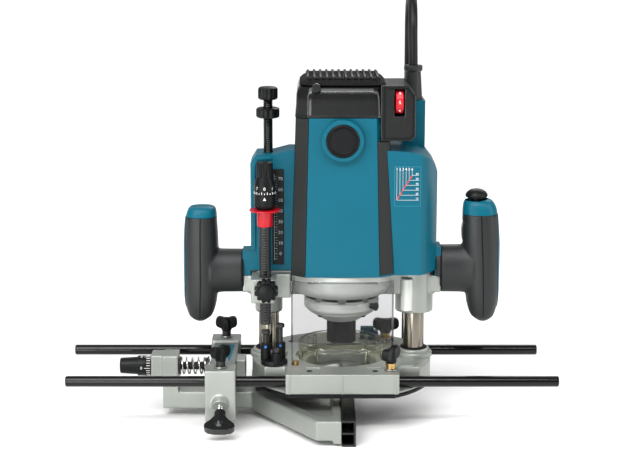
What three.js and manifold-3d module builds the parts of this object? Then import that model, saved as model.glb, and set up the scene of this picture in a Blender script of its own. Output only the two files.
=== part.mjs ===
// Plunge router with a rod-mounted edge guide, in millimetres.
// Working frame: spindle axis on Z, sole underside at Z = 0, front towards -Y, right towards +X.
// The whole assembly is shifted at the end, so that its origin is the middle of its footprint.
import * as THREE from 'three';
import { mergeVertices } from 'three/addons/utils/BufferGeometryUtils.js';
import Module from 'manifold-3d';

const wasm = await Module();
wasm.setup();

// ---- driving dimensions ----
const GAP = 0.3;
const COLUMN_X = 68;
const COLUMN_R = 9.8;
const COLUMN_BORE = 8;
const COLUMN_TOP = 168;
const ROD_Y = 54;
const ROD_Z = 11.5;
const ROD_R = 5;
const ROD_BORE = ROD_R + GAP;
const SOLE_R = 84.5;
const SOLE_FRONT = -70;
const SOLE_TOP = 3;
const BASE_TOP = 22.3;
const SHOE_TOP = 6;
const BOSS_TOP = 29.6;
const APERTURE_R = 33;
const CLAMP_X = 44.5;
const POLE = [-70.4, -32];
const POLE_R = 5.4;
const TURRET = [-62.5, -34];
const BRACKET_TOP = 107;
const HOUSING_TOP = 252;
const HOUSING_TAPER = 0.1;
const COVER_TOP = 281;
const BRUSH_Z = 232.4;
const NUT_BOTTOM = 35.2;
const HANDLE_REACH = 147;
const GUIDE_X = -111;
const CARRIAGE_TOP = -11;
const FENCE_BOTTOM = -34.8;
const FENCE_HALF = 103;
const ADJUSTER_Z = 11;
const CORD_R = 4.25;
const CORD_EXIT = [67, 35, 292.3];
const COIL = [12, 165];
const COIL_RADIUS = 42.5;
const ORIGIN = [-30.5, 0, FENCE_BOTTOM];

// ---- solids from three.js geometry ----

function solidOf(geometry) {
  const bare = new THREE.BufferGeometry();
  bare.setAttribute('position', geometry.getAttribute('position'));
  if (geometry.index) {
    bare.setIndex(geometry.index);
  }
  const welded = mergeVertices(bare, 1e-3);
  const place = welded.getAttribute('position').array;
  const found = welded.index.array;
  const faces = [];
  let volume = 0;
  for (let i = 0; i < found.length; i += 3) {
    const [a, b, c] = [found[i], found[i + 1], found[i + 2]];
    if (a === b || b === c || a === c) {
      continue;
    }
    faces.push(a, b, c);
    const [p, q, r] = [a, b, c].map((k) => new THREE.Vector3().fromArray(place, 3 * k));
    volume += p.dot(q.cross(r));
  }
  if (volume < 0) {
    faces.reverse();
  }
  return new wasm.Manifold(new wasm.Mesh({
    numProp: 3,
    vertProperties: Float32Array.from(place),
    triVerts: Uint32Array.from(faces),
  }));
}

function geometryOf(solid) {
  const { vertProperties, triVerts } = solid.getMesh();
  const geometry = new THREE.BufferGeometry();
  geometry.setAttribute('position', new THREE.BufferAttribute(vertProperties, 3));
  geometry.setIndex(new THREE.BufferAttribute(triVerts, 1));
  geometry.computeVertexNormals();
  return geometry;
}

function joined(...solids) {
  return solids.reduce((whole, next) => whole.add(next));
}

function cut(solid, ...tools) {
  return tools.reduce((left, tool) => left.subtract(tool), solid);
}

function box(x0, x1, y0, y1, z0, z1) {
  const geometry = new THREE.BoxGeometry(x1 - x0, y1 - y0, z1 - z0);
  geometry.translate((x0 + x1) / 2, (y0 + y1) / 2, (z0 + z1) / 2);
  return solidOf(geometry);
}

// A plan outline, raised from z0 to z1.
function prism(outline, z0, z1) {
  const shape = new THREE.Shape(outline.map(([x, y]) => new THREE.Vector2(x, y)));
  const geometry = new THREE.ExtrudeGeometry(shape, { depth: z1 - z0, bevelEnabled: false });
  geometry.translate(0, 0, z0);
  return solidOf(geometry);
}

// An outline in X and Z, drawn out along Y from y0 to y1.
function sidePrism(outline, y0, y1) {
  const shape = new THREE.Shape(outline.map(([x, z]) => new THREE.Vector2(x, z)));
  const geometry = new THREE.ExtrudeGeometry(shape, { depth: y1 - y0, bevelEnabled: false });
  geometry.rotateX(Math.PI / 2);
  geometry.translate(0, y1, 0);
  return solidOf(geometry);
}

// A profile of [radius, height] turned about an axis through a point.
function turned(profile, [x, y, z] = [0, 0, 0], axis = 'z', segments = 24) {
  const points = profile.map(([r, h]) => new THREE.Vector2(r, h));
  const geometry = new THREE.LatheGeometry(points, segments);
  if (axis === 'z') {
    geometry.rotateX(Math.PI / 2);
  }
  if (axis === 'x') {
    geometry.rotateZ(-Math.PI / 2);
  }
  geometry.translate(x, y, z);
  return solidOf(geometry);
}

function rod(r, h0, h1, at = [0, 0, 0], axis = 'z', segments = 20) {
  return turned([[0, h0], [r, h0], [r, h1], [0, h1]], at, axis, segments);
}

function sleeve(inner, outer, h0, h1, at = [0, 0, 0], axis = 'z', segments = 24) {
  const profile = [[inner, h0], [outer, h0], [outer, h1], [inner, h1], [inner, h0]];
  return turned(profile, at, axis, segments);
}

// Rings of points, all with the same count, skinned from first to last and closed by flat ends.
function loft(rings) {
  const count = rings[0].length;
  const positions = rings.flat(2);
  const faces = [];
  for (let i = 0; i + 1 < rings.length; i += 1) {
    for (let k = 0; k < count; k += 1) {
      const a = i * count + k;
      const b = i * count + ((k + 1) % count);
      faces.push(a, b, b + count, a, b + count, a + count);
    }
  }
  const flat = rings[0].map(([x, y]) => new THREE.Vector2(x, y));
  const last = (rings.length - 1) * count;
  for (const [a, b, c] of THREE.ShapeUtils.triangulateShape(flat, [])) {
    faces.push(a, c, b, last + a, last + b, last + c);
  }
  const geometry = new THREE.BufferGeometry();
  geometry.setAttribute('position', new THREE.Float32BufferAttribute(positions, 3));
  geometry.setIndex(faces);
  return solidOf(geometry);
}

// A plan outline that shrinks towards the spindle axis as it rises, as the housing does.
function tapered(outline, z0, z1) {
  const ring = (z) => {
    const rise = (z - BRACKET_TOP) / (HOUSING_TOP - BRACKET_TOP);
    return outline.map(([x, y]) => [x, y].map((v) => v * (1 - HOUSING_TAPER * rise)).concat(z));
  };
  return loft([ring(z0), ring(z1)]);
}

// A round tube along a smooth curve.
function swept(points, radius, sides, steps, straight = false) {
  const places = points.map((p) => new THREE.Vector3(...p));
  const path = new THREE.CatmullRomCurve3(places, false, straight ? 'catmullrom' : 'centripetal');
  const section = Array.from({ length: sides }, (_, k) => {
    const angle = (2 * Math.PI * k) / sides;
    return new THREE.Vector2(radius * Math.cos(angle), radius * Math.sin(angle));
  });
  return solidOf(new THREE.ExtrudeGeometry(new THREE.Shape(section), { steps, extrudePath: path }));
}

// A coil spring round an axis, from h0 to h1.
function spring(radius, wire, turns, h0, h1, place) {
  const stepsPerTurn = 6;
  const points = Array.from({ length: turns * stepsPerTurn + 1 }, (_, k) => {
    const angle = (2 * Math.PI * k) / stepsPerTurn;
    const height = h0 + ((h1 - h0) * k) / (turns * stepsPerTurn);
    return place(radius * Math.cos(angle), radius * Math.sin(angle), height);
  });
  return swept(points, wire, 4, turns * stepsPerTurn);
}

function turnedBy(solid, degrees, [x, y]) {
  return solid.translate([-x, -y, 0]).rotate([0, 0, degrees]).translate([x, y, 0]);
}

function mirrored(outline) {
  return outline.map(([x, y]) => [-x, y]);
}

// ---- materials ----

const finish = (color, roughness, metalness = 0) => ({ color, roughness, metalness });
const PAINT = finish(0x0a7a96, 0.42);
const CASTING = finish(0xb9bcb8, 0.45, 0.6);
const DARK_CASTING = finish(0x6f7472, 0.5, 0.5);
const BLACK = finish(0x1a1b1c, 0.5);
const GLOSS_BLACK = finish(0x101112, 0.2);
const RUBBER = finish(0x202123, 0.8);
const STEEL = finish(0xb7b2a6, 0.25, 0.9);
const DARK_STEEL = finish(0x2a2a29, 0.35, 0.8);
const COPPER = finish(0xa65f35, 0.4, 0.9);
const RED = finish(0xd01f27, 0.4);
const CLEAR = finish(0xd8d8c8, 0.1);
const SMOKE = finish(0xb6b5bc, 0.1);

const assembly = new THREE.Group();
assembly.name = 'plunge_router';
assembly.position.set(...ORIGIN.map((v) => -v));

function add(name, solid, material) {
  const mesh = new THREE.Mesh(geometryOf(solid), new THREE.MeshStandardMaterial(material));
  mesh.name = name;
  assembly.add(mesh);
}

// ---- base, columns and clear guards ----

function makeBase() {
  const keep = box(-90, 90, SOLE_FRONT, 90, -1, 40);
  const sole = rod(SOLE_R, 0, SOLE_TOP, [0, 0, 0], 'z', 48).intersect(keep);
  add('sole_plate', cut(sole, rod(APERTURE_R - 1, -1, 4)), BLACK);

  const shoe = rod(SOLE_R, SOLE_TOP + GAP, SHOE_TOP, [0, 0, 0], 'z', 48).intersect(keep);
  const body = rod(SOLE_R - 0.5, SHOE_TOP, BASE_TOP, [0, 0, 0], 'z', 48)
    .intersect(box(-90, 90, -44, 90, 0, 40));
  const nose = box(-51.5, 51.5, SOLE_FRONT, -40, SOLE_TOP + GAP, BASE_TOP);
  const bosses = [-COLUMN_X, COLUMN_X].map((x) => rod(15.2, 5, BOSS_TOP, [x, 0, 0]));
  const sockets = [-COLUMN_X, COLUMN_X].map((x) => rod(COLUMN_R + GAP, SHOE_TOP + GAP, 40, [x, 0, 0]));
  const rodBores = [-ROD_Y, ROD_Y].map((y) => rod(ROD_BORE, -95, 95, [0, y, ROD_Z], 'x', 24));
  const screwBores = [-ROD_Y, ROD_Y].map((y) => rod(3.3, ROD_Z, 40, [CLAMP_X, y, 0], 'z', 16));
  const aperture = [rod(APERTURE_R, 0, 40), rod(43, 16, 40)];
  add('base_casting', cut(
    joined(shoe, body, nose, ...bosses), ...sockets, ...rodBores, ...screwBores, ...aperture,
  ), CASTING);

  for (const [side, x] of [['left', -COLUMN_X], ['right', COLUMN_X]]) {
    add(`${side}_column`, sleeve(COLUMN_BORE, COLUMN_R, SHOE_TOP + 2 * GAP, COLUMN_TOP, [x, 0, 0]), STEEL);
    const place = (u, v, h) => [x + u, v, h];
    add(`${side}_plunge_spring`, spring(6.3, 0.7, 11, 12, 208, place), DARK_STEEL);
  }
  add('limit_rod', turned([
    [0, 8], [4.5, 8], [4.5, 264], [8.6, 264], [9.2, 265.5], [9.2, 273.6], [7.6, 275.6], [0, 275.6],
  ], [-COLUMN_X, 0, 0], 'z', 20), DARK_STEEL);
  add('limit_nut', sleeve(4.8, 10.9, 247.2, 256.6, [-COLUMN_X, 0, 0]), BLACK);
  add('guide_bush_plate', sleeve(20, APERTURE_R - 0.4, 4, 7), DARK_STEEL);
  add('chip_ring', sleeve(37, 40.5, 16.4, 36, [0, 0, 0], 'z', 36), CLEAR);
}

// A curved front screen on two legs, open towards the spindle.
function makeDeflector() {
  const outer = [[-46.6, -43.8], [-37, -51.6], [-32, -54], [32, -54], [37, -51.6], [46.9, -43.6]];
  const inner = [[45.9, -42.3], [36.2, -50.2], [31.6, -52.4], [-31.6, -52.4], [-36.2, -50.2], [-45.6, -42.5]];
  const legs = [[-46.6, -45], [45.3, 46.9]].flatMap(([x0, x1]) => [
    box(x0, x1, -44, -33, 46, 50), box(x0, x1, -40.5, -33, 22.6, 50),
  ]);
  add('chip_deflector', joined(prism([...outer, ...inner], 46, 104), ...legs), SMOKE);
}

// A thumb screw with a flat wing, standing upright at a place on a face at z = face.
function thumbScrew([x, y], tip, face, wing, degrees) {
  const solid = joined(
    rod(3, tip, face + 5, [x, y, 0], 'z', 16),
    rod(6, face, face + 1.6, [x, y, 0], 'z', 24),
    rod(4.5, face + 1, wing.bottom + 1, [x, y, 0], 'z', 20),
    sidePrism([
      [x - 4, wing.bottom], [x + 4, wing.bottom], [x + wing.half, wing.bottom + 5],
      [x + wing.half, wing.top - 3], [x + wing.half - 4, wing.top], [x - wing.half + 4, wing.top],
      [x - wing.half, wing.top - 3], [x - wing.half, wing.bottom + 5],
    ], y - 3.5, y + 3.5),
  );
  return turnedBy(solid, degrees, [x, y]);
}

function makeBaseFittings() {
  const wing = { bottom: 29, top: 43.7, half: 12.8 };
  const face = BASE_TOP + GAP;
  const tip = ROD_Z + ROD_R + GAP;
  add('rod_clamp_front', thumbScrew([CLAMP_X, -ROD_Y], tip, face, wing, 60), BLACK);
  add('rod_clamp_rear', thumbScrew([CLAMP_X, ROD_Y], tip, face, wing, 0), BLACK);

  const stops = [[166, 54.7, 3.9], [46, 59.6, 3.9], [-74, 40, 3.9]];
  const posts = stops.flatMap(([degrees, top, head]) => {
    const angle = (degrees * Math.PI) / 180;
    const at = [TURRET[0] + 8.1 * Math.cos(angle), TURRET[1] + 8.1 * Math.sin(angle), 0];
    const block = Math.min(42, top - 5);
    return [rod(4.8, 24, block, at, 'z', 16), rod(2.6, block - 1, top - 3, at, 'z', 12),
      rod(head, top - 4, top, at, 'z', 6)];
  });
  const turret = rod(12.4, BASE_TOP + GAP, 27, [...TURRET, 0], 'z', 24);
  add('stop_turret', joined(turret, ...posts), BLACK);
  add('bush_latch', joined(
    box(20, 38, 58, 68, BASE_TOP + GAP, 28.6), box(20, 33, 59, 67, 28, 32.5),
  ), PAINT);
}

// ---- depth stop ----

function makeDepthStop() {
  const at = [...POLE, 0];
  add('stop_pole', rod(POLE_R, 60.2, 167, at, 'z', 24), DARK_STEEL);
  add('depth_pointer', joined(
    sleeve(POLE_R + GAP, 7.2, 151.9, 166, at, 'z', 24), sleeve(POLE_R + GAP, 14.3, 165.5, 167.6, at, 'z', 40),
  ), RED);
  add('fine_depth_knob', turned([
    [0, 168.1], [8.4, 168.1], [9.8, 171], [9.8, 190], [7.6, 197], [7.4, 210], [6.4, 211.2], [0, 211.2],
  ], at, 'z', 24), BLACK);
  add('depth_scale', box(-64, -53.6, -17.5, -16.3, 113, 202), BLACK);
  add('pole_clamp_knob', joined(
    rod(11, -59, -47, [POLE[0] + 1.4, 0, 96.7], 'y', 24), rod(6, -63, -58, [POLE[0] + 1.4, 0, 96.7], 'y', 20),
    rod(3, -48, -39.6, [POLE[0] + 1.4, 0, 96.7], 'y', 16),
  ), BLACK);
}

// ---- motor bracket and its small parts ----

function makeBracket() {
  const cup = turned([
    [0, 79], [33, 79], [33, 84], [36, 84], [41, 86.5], [45, 91.5], [46.5, 98], [46.5, BRACKET_TOP],
    [0, BRACKET_TOP],
  ], [0, 0, 0], 'z', 36);
  const bridge = box(-78, 78, -15, 15, 84, BRACKET_TOP);
  const stubs = box(-92, 92, -12, 12, 85, 101);
  const clampBlock = prism([
    [-83.3, -46], [-61.3, -46], [-61.3, -23.9], [-47.2, -23.9], [-47.2, 0], [-83.3, 0],
  ], 82.5, 105);
  const leftBoss = joined(rod(13, 66, 84, [-COLUMN_X, 0, 0]), rod(16, 82.5, BRACKET_TOP, [-COLUMN_X, 0, 0]));
  const rightBoss = joined(rod(17.9, 66, BRACKET_TOP, [COLUMN_X, 0, 0]), rod(5.4, 69, 99.5, [60.5, -15, 0]));
  const hollows = [
    rod(41.5, 92, 120, [0, 0, 0], 'z', 36),
    rod(17, 70, 120),
    rod(COLUMN_R + GAP, 60, 120, [-COLUMN_X, 0, 0]),
    rod(COLUMN_R + GAP, 60, 120, [COLUMN_X, 0, 0]),
    rod(POLE_R + GAP, 60, 120, [...POLE, 0], 'z', 24),
    rod(3.3, -50, -32, [POLE[0] + 1.4, 0, 96.7], 'y', 16),
  ];
  const solid = joined(cup, bridge, stubs, clampBlock, leftBoss, rightBoss);
  add('motor_bracket', cut(solid, ...hollows), CASTING);

  const pinBore = rod(3.3, 13, 60, [0, 0, 75], 'x', 16).rotate([0, 0, -40]);
  const cover = turned([
    [14.4, 57.5], [17, 57.5], [31, 66.5], [35.3, 71], [35.3, 78.7], [14.4, 78.7], [14.4, 57.5],
  ], [0, 0, 0], 'z', 36);
  add('bearing_cover', cut(cover, pinBore), CASTING);
  add('shaft_lock_pin', rod(3, 24, 43, [0, 0, 75], 'x', 16).rotate([0, 0, -40]), BLACK);
  add('lower_bearing', sleeve(10.3, 16.7, 79.3, 91.7), STEEL);
  add('plunge_lock_lever', joined(
    rod(8, 18.4, 26, [COLUMN_X, 0, 94], 'y', 24),
    sidePrism([[68, 86.5], [108, 89], [114, 94], [108, 99], [68, 101.5]], 19.5, 25.5),
  ), BLACK);
}

// ---- spindle ----

function makeSpindle() {
  add('armature', turned([
    [9.7, 60.3], [12.5, 60.3], [12.5, 78.4], [10, 78.4], [10, 95], [7, 95], [7, 130], [18, 130], [25, 137],
    [25, 196], [18, 203], [15, 212], [15, 244], [7, 244], [7, 262], [0, 262], [0, 77.5], [9.7, 77.5],
    [9.7, 60.3],
  ]), STEEL);
  add('collet', sleeve(6.35, 9.4, NUT_BOTTOM + 0.8, 76), STEEL);
  const hexagon = Array.from({ length: 6 }, (_, k) => {
    const angle = (Math.PI / 3) * k;
    return [13.86 * Math.cos(angle), 13.86 * Math.sin(angle)];
  });
  add('collet_nut', cut(prism(hexagon, NUT_BOTTOM, 60), rod(9.7, 0, 90)), DARK_STEEL);
  add('cooling_fan', joined(sleeve(7.3, 12, 96, 110), sleeve(11, 38, 97, 104)), BLACK);
  add('upper_bearing', sleeve(7.3, 13, 252.6, 260.5), STEEL);
}

// ---- motor housing ----

const BODY = [[-34, -48], [34, -48], [47, -38], [47, 38], [34, 48], [-34, 48], [-47, 38], [-47, -38]];
const STRIP = [[34.3, -47.8], [46.8, -38.2], [45, -35.8], [32.5, -45.4]];
const STRIP_POCKET = [[33.9, -48.6], [47.6, -38.1], [45, -35.3], [32, -45.3]];

function makeHousing() {
  const core = tapered(BODY, BRACKET_TOP + GAP, HOUSING_TOP);
  const shoulder = sidePrism([
    [-84, 107.3], [-84, 207], [-79, 215], [-63, 215.3], [-49, 219], [-40, 219], [-40, 107.3],
  ], -16, 24);
  const reach = (outer, inner, top) => sidePrism([
    [outer, 101.3], [inner, 101.3], [inner, 107.3], [0.9 * inner, 107.3], [0.9 * inner, top], [outer, top],
  ], -12, 12);
  const wingSide = sidePrism([
    [40, 107.3], [87.5, 107.3], [87.5, 199], [85, 207], [79, 214], [70, 219], [58, 221], [40, 222],
  ], -45, 50);
  const wingPlan = prism([
    [38, -38], [71, -38], [76, -34.5], [87.5, -12], [87.5, 30], [80, 46], [38, 46],
  ], 100, 230);
  const brow = prism([[-60, 213], [-20, 240], [-60, 240]].map(([y, z]) => [y, z]), 30, 100)
    .rotate([90, 0, 90]);
  const wing = cut(wingSide.intersect(wingPlan), brow);
  const tower = box(57, 78, 25, 46, 205, 259.7);
  const caps = [-1, 1].map((side) => rod(18.6, 0, 6.5, [0, 0, 0], 'y', 28)
    .translate([0, side < 0 ? -50.5 : 44, BRUSH_Z]));
  const hollows = [
    rod(41, 100, 202, [0, 0, 0], 'z', 36),
    rod(37.5, 200, 260, [0, 0, 0], 'z', 36),
    rod(10.4, 100, 209, [-COLUMN_X, 0, 0]),
    rod(10.4, 100, 209, [COLUMN_X, 0, 0]),
    rod(4.9, 200, 230, [-COLUMN_X, 0, 0], 'z', 20),
    box(33.5, 60, -60, 24, 231, 260),
    rod(15.3, -60, -47.1, [0, 0, BRUSH_Z], 'y'),
    rod(15.3, 47.1, 60, [0, 0, BRUSH_Z], 'y'),
    rod(8.3, -60, 60, [0, 0, BRUSH_Z], 'y', 24),
    tapered(STRIP_POCKET, 107, 260),
    tapered(mirrored(STRIP_POCKET).reverse(), 107, 260),
  ];
  const solid = joined(
    core, shoulder, reach(-92, -84.6, 124.3), reach(92, 86.5, 128.5), wing, tower, ...caps,
  );
  add('motor_housing', cut(solid, ...hollows), PAINT);
  add('left_side_strip', tapered(mirrored(STRIP).reverse(), BRACKET_TOP + GAP, 251.7), RUBBER);
  add('right_side_strip', tapered(STRIP, BRACKET_TOP + GAP, 230.7), RUBBER);
  add('field_core', sleeve(27, 40.4, 135, 200, [0, 0, 0], 'z', 36), DARK_STEEL);
  for (const [side, way] of [['front', -1], ['rear', 1]]) {
    const span = (a, b) => [a * way, b * way].sort((p, q) => p - q);
    const cap = rod(15, ...span(47.4, 51.6), [0, 0, BRUSH_Z], 'y');
    add(`${side}_brush_cap`, cap.add(rod(8, ...span(15.5, 48), [0, 0, BRUSH_Z], 'y', 24)), BLACK);
  }
}

function makeTop() {
  const cap = tapered(BODY, HOUSING_TOP + GAP, COVER_TOP);
  const pod = box(33.8, 65, -41, 23.5, 231.3, COVER_TOP);
  const hollows = [rod(33, 240, 276, [0, 0, 0], 'z', 36), box(46.2, 55.2, -50, -19, 253.5, 279.5)];
  add('top_cover', cut(joined(cap, pod), ...hollows), GLOSS_BLACK);
  const grid = (scale, z) => BODY.map(([x, y]) => [x * scale, y * scale, z]);
  add('top_grille', loft([grid(0.84, COVER_TOP + GAP), grid(0.78, 286), grid(0.7, 288.5)]), BLACK);
  add('speed_dial', rod(11, 47.2, 54.4, [0, -33, 266.4], 'x', 28), RED);
  add('cord_guard', turned([
    [0, 260], [9.4, 260], [7.6, 286], [8.7, 288], [8.7, 292], [0, 292],
  ], [CORD_EXIT[0], CORD_EXIT[1], 0], 'z', 24), RUBBER);
}

// ---- handles ----

// Height, reach of the outer and inner edge, and half the depth, from foot to crown.
const GRIP_FOOT = [[0, 138, 127, 8], [0.05, 143.5, 121, 12.5], [0.17, 146.4, 117, 16], [0.36, 147, 115, 17.5]];
const GRIPS = {
  left: [
    ...GRIP_FOOT, [0.54, 147, 114.6, 17.5], [0.72, 146.6, 114.8, 17], [0.86, 145.6, 115.6, 16],
    [0.93, 144.4, 116, 15], [0.975, 142.6, 116.6, 13], [1, 140, 118.8, 10],
  ],
  right: [
    ...GRIP_FOOT, [0.54, 147, 113.4, 17.5], [0.66, 146.8, 112.2, 17.2], [0.86, 145, 112, 15.8],
    [0.93, 143.6, 112.2, 14.4], [0.975, 141, 113, 12.6], [1, 136.5, 115.2, 9.6],
  ],
};
const NECK = [
  [0, 92.4], [16.6, 92.4], [17, 95], [17, 109], [17.6, 112.5], [18.6, 116], [17.8, 120], [15, 122], [0, 122],
];

function grip(name, side, foot, crown) {
  const sides = 20;
  return loft(GRIPS[name].map(([share, outside, inside, depth]) => {
    const middle = (side * (outside + inside)) / 2;
    const half = (outside - inside) / 2;
    return Array.from({ length: sides }, (_, k) => {
      const angle = (2 * Math.PI * k) / sides;
      const square = 0.86;
      const [c, s] = [Math.cos(angle), Math.sin(angle)];
      const reach = [c, s].map((v) => Math.sign(v) * Math.abs(v) ** square);
      return [middle + half * reach[0], depth * reach[1], foot + share * (crown - foot)];
    });
  }));
}

function makeHandles() {
  const foot = 55.6;
  const hands = [
    { name: 'left', side: -1, crown: 164.8, seam: 155.4, neckTop: 124.3 },
    { name: 'right', side: 1, crown: 171.6, seam: 157.8, neckTop: 128.5 },
  ];
  for (const { name, side, crown, seam, neckTop } of hands) {
    const whole = grip(name, side, foot, crown);
    const reach = NECK.map(([r, x]) => [r, side * x]);
    const neck = turned(side > 0 ? reach : reach.reverse(), [0, 0, 0], 'x', 28)
      .scale([1, 0.92, (neckTop - 83) / 34])
      .translate([0, 0, (neckTop + 83) / 2]);
    const below = box(-HANDLE_REACH - 1, HANDLE_REACH + 1, -40, 40, 0, seam);
    const above = box(-HANDLE_REACH - 1, HANDLE_REACH + 1, -40, 40, seam + GAP, 200);
    let rubber = joined(whole, neck).intersect(below);
    let cap = whole.intersect(above);
    if (side > 0) {
      rubber = cut(rubber, box(108, 124, -7.3, 7.3, 131, 150), rod(5.4, 150, 200, [125, 0, 0], 'z', 20));
      cap = cut(cap, rod(5.4, 150, 200, [125, 0, 0], 'z', 20), rod(10.8, 167.5, 200, [125, 0, 0]));
    }
    add(`${name}_grip`, rubber, RUBBER);
    add(`${name}_grip_cap`, cap, PAINT);
  }
  add('trigger', joined(box(112.5, 119.4, -7, 7, 131.3, 149.7), rod(3, -7, 7, [113, 0, 140.5], 'y', 16)), BLACK);
  add('lock_button', joined(
    rod(5, 160, 174, [125, 0, 0], 'z', 20),
    turned([[0, 172.6], [9.6, 172.6], [10.4, 174.5], [10.4, 178], [8, 180.6], [0, 181]], [125, 0, 0], 'z', 28),
  ), BLACK);
}

// ---- edge guide ----

function makeGuide() {
  add('guide_rod_front', rod(ROD_R, -253, 198, [0, -ROD_Y, ROD_Z], 'x', 24), DARK_STEEL);
  add('guide_rod_rear', rod(ROD_R, -259, 192, [0, ROD_Y, ROD_Z], 'x', 24), DARK_STEEL);

  const tilt = 35;
  const wingPoint = [GUIDE_X, -66, -7];
  const slanted = (solid) => solid.rotate([90 + tilt, 0, 0]).translate(wingPoint);
  const holder = joined(
    box(-125, -97, -66, -42, -23, 24.5),
    box(-125, -97, 42, 66, -23, 24.5),
    box(-122, -99, -44, 44, -23, 21.5),
    box(-100, -90, -12, 12, 0, 19),
    slanted(rod(7.6, -4, 2, [0, 0, 0], 'z', 28)),
  );
  add('guide_holder', cut(
    holder,
    box(-130, -90, -13.4, 13.4, -30, CARRIAGE_TOP + GAP + 0.1),
    rod(4.4, -130, -80, [0, 0, ADJUSTER_Z], 'x', 20),
    rod(ROD_BORE, -130, -90, [0, -ROD_Y, ROD_Z], 'x', 24),
    rod(ROD_BORE, -130, -90, [0, ROD_Y, ROD_Z], 'x', 24),
    rod(3.3, ROD_Z, 40, [GUIDE_X, -ROD_Y, 0], 'z', 16),
    rod(3.3, ROD_Z, 40, [GUIDE_X, ROD_Y, 0], 'z', 16),
    slanted(rod(3.3, -16, 10, [0, 0, 0], 'z', 16)),
  ), DARK_CASTING);

  const wing = { bottom: 31, top: 45, half: 10.5 };
  const tip = ROD_Z + ROD_R + GAP;
  add('wing_bolt_front', thumbScrew([GUIDE_X, -ROD_Y], tip, 24.8, wing, 50), BLACK);
  add('wing_bolt_rear', thumbScrew([GUIDE_X, ROD_Y], tip, 24.8, wing, 0), BLACK);
  add('wing_bolt_lower', slanted(joined(
    rod(3, -12, 12, [0, 0, 0], 'z', 16),
    sidePrism([[-4, 9], [4, 9], [14, 20], [14, 28], [10, 32], [-10, 32], [-14, 28], [-14, 20]], -3, 3),
  )), BLACK);
}

function makeCarriage() {
  const bar = box(-168, -80, -13, 13, -27.5, CARRIAGE_TOP);
  const post = box(-168, -153.4, -13, 13, -27.5, 23.5);
  const head = box(-179.3, -153.4, -11, 11, 0, 23.5);
  const web = prism([[-84, -13], [-24, -FENCE_HALF], [-1.3, -FENCE_HALF], [-1.3, FENCE_HALF],
    [-24, FENCE_HALF], [-84, 13]], -21, -15);
  const arm = (side) => prism([[-84, -13], [-24, -FENCE_HALF], [-12, -FENCE_HALF], [-72, -6]]
    .map(([x, y]) => [x, side * y]), -29, CARRIAGE_TOP);
  const wall = box(-9, -1.3, -FENCE_HALF, FENCE_HALF, -32, CARRIAGE_TOP);
  const bore = rod(4.4, -190, -140, [0, 0, ADJUSTER_Z], 'x', 20);
  add('guide_carriage', cut(joined(bar, post, head, web, arm(1), arm(-1), wall), bore), CASTING);
  add('fence_plate', box(-1, 11.5, -FENCE_HALF, FENCE_HALF, FENCE_BOTTOM, -10.5), BLACK);
  add('adjuster_knob', turned([
    [0, -209], [7, -209], [8, -207.5], [8.6, -192], [9.6, -191], [9.6, -180.5], [9, -179.6], [4, -179.6],
    [4, -104], [0, -104],
  ], [0, 0, ADJUSTER_Z], 'x', 24), BLACK);
  const place = (u, v, h) => [h, u, ADJUSTER_Z + v];
  add('adjuster_spring', spring(7.4, 0.9, 6, -151.8, -123.8, place), STEEL);
}

// ---- mains lead ----

// The lead leaves its guard upwards, bends back and hangs behind the machine to the floor.
const CORD_ROUTE = [
  [67, 35, 292.6], [66.8, 35, 306], [66.5, 35, 320], [66.4, 39.8, 337.8], [66.4, 52.8, 350.7],
  [66.5, 70.5, 355.5], [66.6, 88.2, 350.7], [66.8, 101.2, 337.8], [67, 106.4, 320], [67.1, 108.5, 285],
  [67.2, 110, 240], [67.2, 111.3, 190], [67.2, 112, 130], [67.2, 112, 70], [67.2, 112, 30],
  [67.2, 112.2, 5.5], [67.2, 116.8, -12.5], [67.2, 127.4, -24], [67.2, 131.5, -26.6],
];
const TAIL_ROUTE = [
  [-27, 216.6, -29.4], [-38, 212, -30.2], [-49, 204.5, -30.3], [-57, 196, -29.6], [-61.1, 188.6, -27.6],
];

function makeLead() {
  add('power_cord', swept(CORD_ROUTE, CORD_R, 8, 34), RUBBER);
  const half = 4 * CORD_R;
  const bundle = [COIL_RADIUS - half, COIL_RADIUS + half];
  add('cord_coil', sleeve(...bundle, FENCE_BOTTOM, FENCE_BOTTOM + 4 * CORD_R, [...COIL, 0], 'z', 36), RUBBER);
  const outline = [[-12, 22], [-17, 10], [-17.5, -8], [-14, -20], [14, -20], [17.5, -8], [17, 10], [12, 22]];
  const pins = [-9.5, 9.5].map((x) => rod(2.4, -39, -19, [x, 0, 9], 'y', 12));
  const body = joined(
    prism(outline, 0.3, 18), rod(5.6, 20, 36, [0, 0, 8.4], 'y', 20), ...pins,
  );
  add('mains_plug', body.rotate([0, 0, -8]).translate([-66.6, 150.5, FENCE_BOTTOM]), BLACK);
  add('cord_tail', swept(TAIL_ROUTE, CORD_R, 8, 6), RUBBER);
}

makeBase();
makeDeflector();
makeBaseFittings();
makeDepthStop();
makeBracket();
makeSpindle();
makeHousing();
makeTop();
makeHandles();
makeGuide();
makeCarriage();
makeLead();

export default assembly;
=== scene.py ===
from math import copysign, cos, pi, radians, sin

import bmesh
import bpy
from mathutils import Matrix, Vector


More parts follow.
